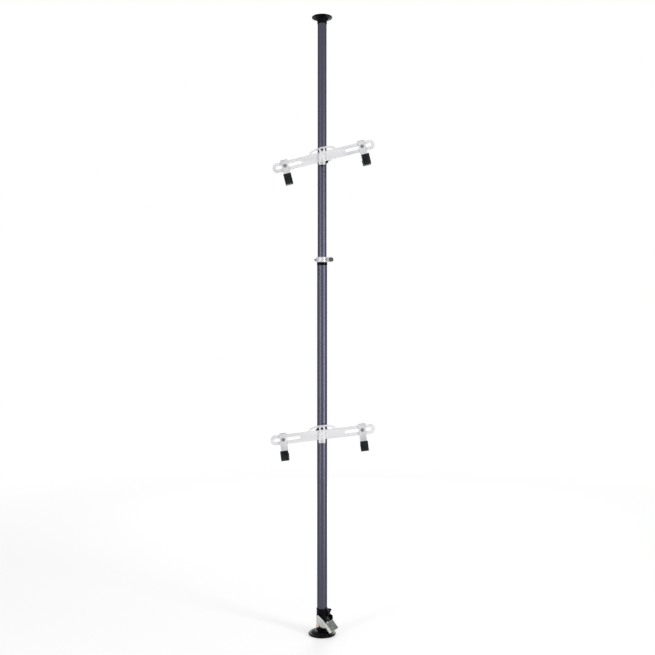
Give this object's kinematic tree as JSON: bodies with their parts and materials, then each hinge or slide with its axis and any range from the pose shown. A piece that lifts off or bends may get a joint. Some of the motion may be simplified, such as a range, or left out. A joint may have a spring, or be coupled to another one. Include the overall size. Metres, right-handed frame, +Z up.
{
  "type": "bike storage stand",
  "caption": "Floor-to-ceiling tension pole with a foot pedal, a quick-release height clamp and tilting slotted bars whose padded hooks cradle bicycle frames.",
  "frame": {"origin": "on the floor, on the axis of the pole, at the middle of the floor pad's underside", "axes": "+Z up along the pole; +X to the right, along the bars in plan; -Y towards the side where the cradles stand out"},
  "size_m": [0.442, 0.1573, 2.64],
  "materials": {
    "pad_rubber": "satin",
    "grip_rubber": "satin",
    "black_plastic": "satin",
    "black_enamel": "satin",
    "tube_slate": "metallic satin",
    "pedal_steel": "satin",
    "tread_steel": "ridged, satin",
    "pin_steel": "satin",
    "bolt_steel": "dark satin",
    "bright_steel": "bright",
    "clamp_alloy": "polished",
    "nut_enamel": "gloss",
    "bar_alloy": "satin",
    "hook_steel": "satin"
  },
  "bodies": {
    "foot": {"floor_pad": "pad_rubber", "foot_plate": "black_enamel", "foot_pin": "pin_steel"},
    "pedal": {"pedal_lever": "pedal_steel", "pedal_tread": "tread_steel", "pedal_block": "black_plastic", "pedal_pin": "bright_steel", "release_knob": "black_plastic", "knob_washer": "bright_steel"},
    "lower_pole": {"base_housing": "black_enamel", "housing_bolt": "bolt_steel", "lower_tube": "tube_slate", "tube_bush": "black_plastic", "collar_ring": "black_plastic", "qr_collar": "clamp_alloy", "collar_screw": "bolt_steel", "qr_skewer": "bright_steel", "qr_nut": "nut_enamel"},
    "qr_lever": {"qr_lever": "clamp_alloy", "qr_pin": "bright_steel"},
    "upper_pole": {"upper_tube": "tube_slate", "upper_tube_bush": "black_plastic", "ceiling_plug": "black_plastic", "ceiling_pad": "pad_rubber"},
    "upper_mount": {"upper_liner": "black_plastic"},
    "upper_clamp": {"upper_clamp_front": "black_enamel", "upper_clamp_rear": "black_enamel", "upper_clamp_bolts": "bolt_steel", "upper_strap": "bar_alloy", "upper_pivot_bolt": "bolt_steel", "upper_strap_bolt": "bright_steel"},
    "upper_bar": {"upper_bar": "bar_alloy"},
    "upper_hook_left": {"upper_hook_left": "hook_steel", "upper_grip_left": "grip_rubber", "upper_hook_screw_left": "bolt_steel", "upper_slot_nut_left": "bright_steel"},
    "upper_hook_right": {"upper_hook_right": "hook_steel", "upper_grip_right": "grip_rubber", "upper_hook_screw_right": "bolt_steel", "upper_slot_nut_right": "bright_steel"},
    "lower_mount": {"lower_liner": "black_plastic"},
    "lower_clamp": {"lower_clamp_front": "black_enamel", "lower_clamp_rear": "black_enamel", "lower_clamp_bolts": "bolt_steel", "lower_strap": "bar_alloy", "lower_pivot_bolt": "bolt_steel", "lower_strap_bolt": "bright_steel"},
    "lower_bar": {"lower_bar": "bar_alloy"},
    "lower_hook_left": {"lower_hook_left": "hook_steel", "lower_grip_left": "grip_rubber", "lower_hook_screw_left": "bolt_steel", "lower_slot_nut_left": "bright_steel"},
    "lower_hook_right": {"lower_hook_right": "hook_steel", "lower_grip_right": "grip_rubber", "lower_hook_screw_right": "bolt_steel", "lower_slot_nut_right": "bright_steel"}
  },
  "joints": [
    {"name": "pedal_hinge", "type": "hinge", "parent": "lower_pole", "child": "pedal", "pos_m": [-0.00045, 0.00023, 0.081], "axis": [-0.454, -0.891, 0], "range_deg": [0, 55]},
    {"name": "foot_hinge", "type": "hinge", "parent": "pedal", "child": "foot", "pos_m": [-0.00178, 0.00091, 0.048], "axis": [-0.454, -0.891, 0], "range_deg": [-55, 0]},
    {"name": "clamp_lever", "type": "hinge", "parent": "lower_pole", "child": "qr_lever", "pos_m": [0.039, 0.0223, 1.601], "axis": [0, 0, -1], "range_deg": [0, 120]},
    {"name": "pole_slide", "type": "slide", "parent": "lower_pole", "child": "upper_pole", "axis": [0, 0, 1], "range_m": [-0.2, 0.34]},
    {"name": "upper_mount_slide", "type": "slide", "parent": "upper_pole", "child": "upper_mount", "axis": [0, 0, 1], "range_m": [-0.05, 0.45]},
    {"name": "upper_swivel", "type": "hinge", "parent": "upper_mount", "child": "upper_clamp", "pos_m": [0, 0, 2.0355], "axis": [0, 0, 1], "continuous": true},
    {"name": "upper_tilt", "type": "hinge", "parent": "upper_clamp", "child": "upper_bar", "pos_m": [0, 0, 2.062], "axis": [0, -1, 0], "range_deg": [-34.1, 5.9]},
    {"name": "upper_hook_left_slide", "type": "slide", "parent": "upper_bar", "child": "upper_hook_left", "axis": [-0.9699, 0, -0.2436], "range_m": [-0.058, 0.026]},
    {"name": "upper_hook_right_slide", "type": "slide", "parent": "upper_bar", "child": "upper_hook_right", "axis": [0.9699, 0, 0.2436], "range_m": [-0.058, 0.026]},
    {"name": "lower_mount_slide", "type": "slide", "parent": "lower_pole", "child": "lower_mount", "axis": [0, 0, 1], "range_m": [-0.45, 0.45]},
    {"name": "lower_swivel", "type": "hinge", "parent": "lower_mount", "child": "lower_clamp", "pos_m": [0, 0, 0.8585], "axis": [0, 0, 1], "continuous": true},
    {"name": "lower_tilt", "type": "hinge", "parent": "lower_clamp", "child": "lower_bar", "pos_m": [0, 0, 0.885], "axis": [0, -1, 0], "range_deg": [-27, 13]},
    {"name": "lower_hook_left_slide", "type": "slide", "parent": "lower_bar", "child": "lower_hook_left", "axis": [-0.9925, 0, -0.1219], "range_m": [-0.058, 0.026]},
    {"name": "lower_hook_right_slide", "type": "slide", "parent": "lower_bar", "child": "lower_hook_right", "axis": [0.9925, 0, 0.1219], "range_m": [-0.058, 0.026]}
  ],
  "couplings": [
    {"joint": "foot_hinge", "follows": "pedal_hinge", "ratio": -1}
  ]
}
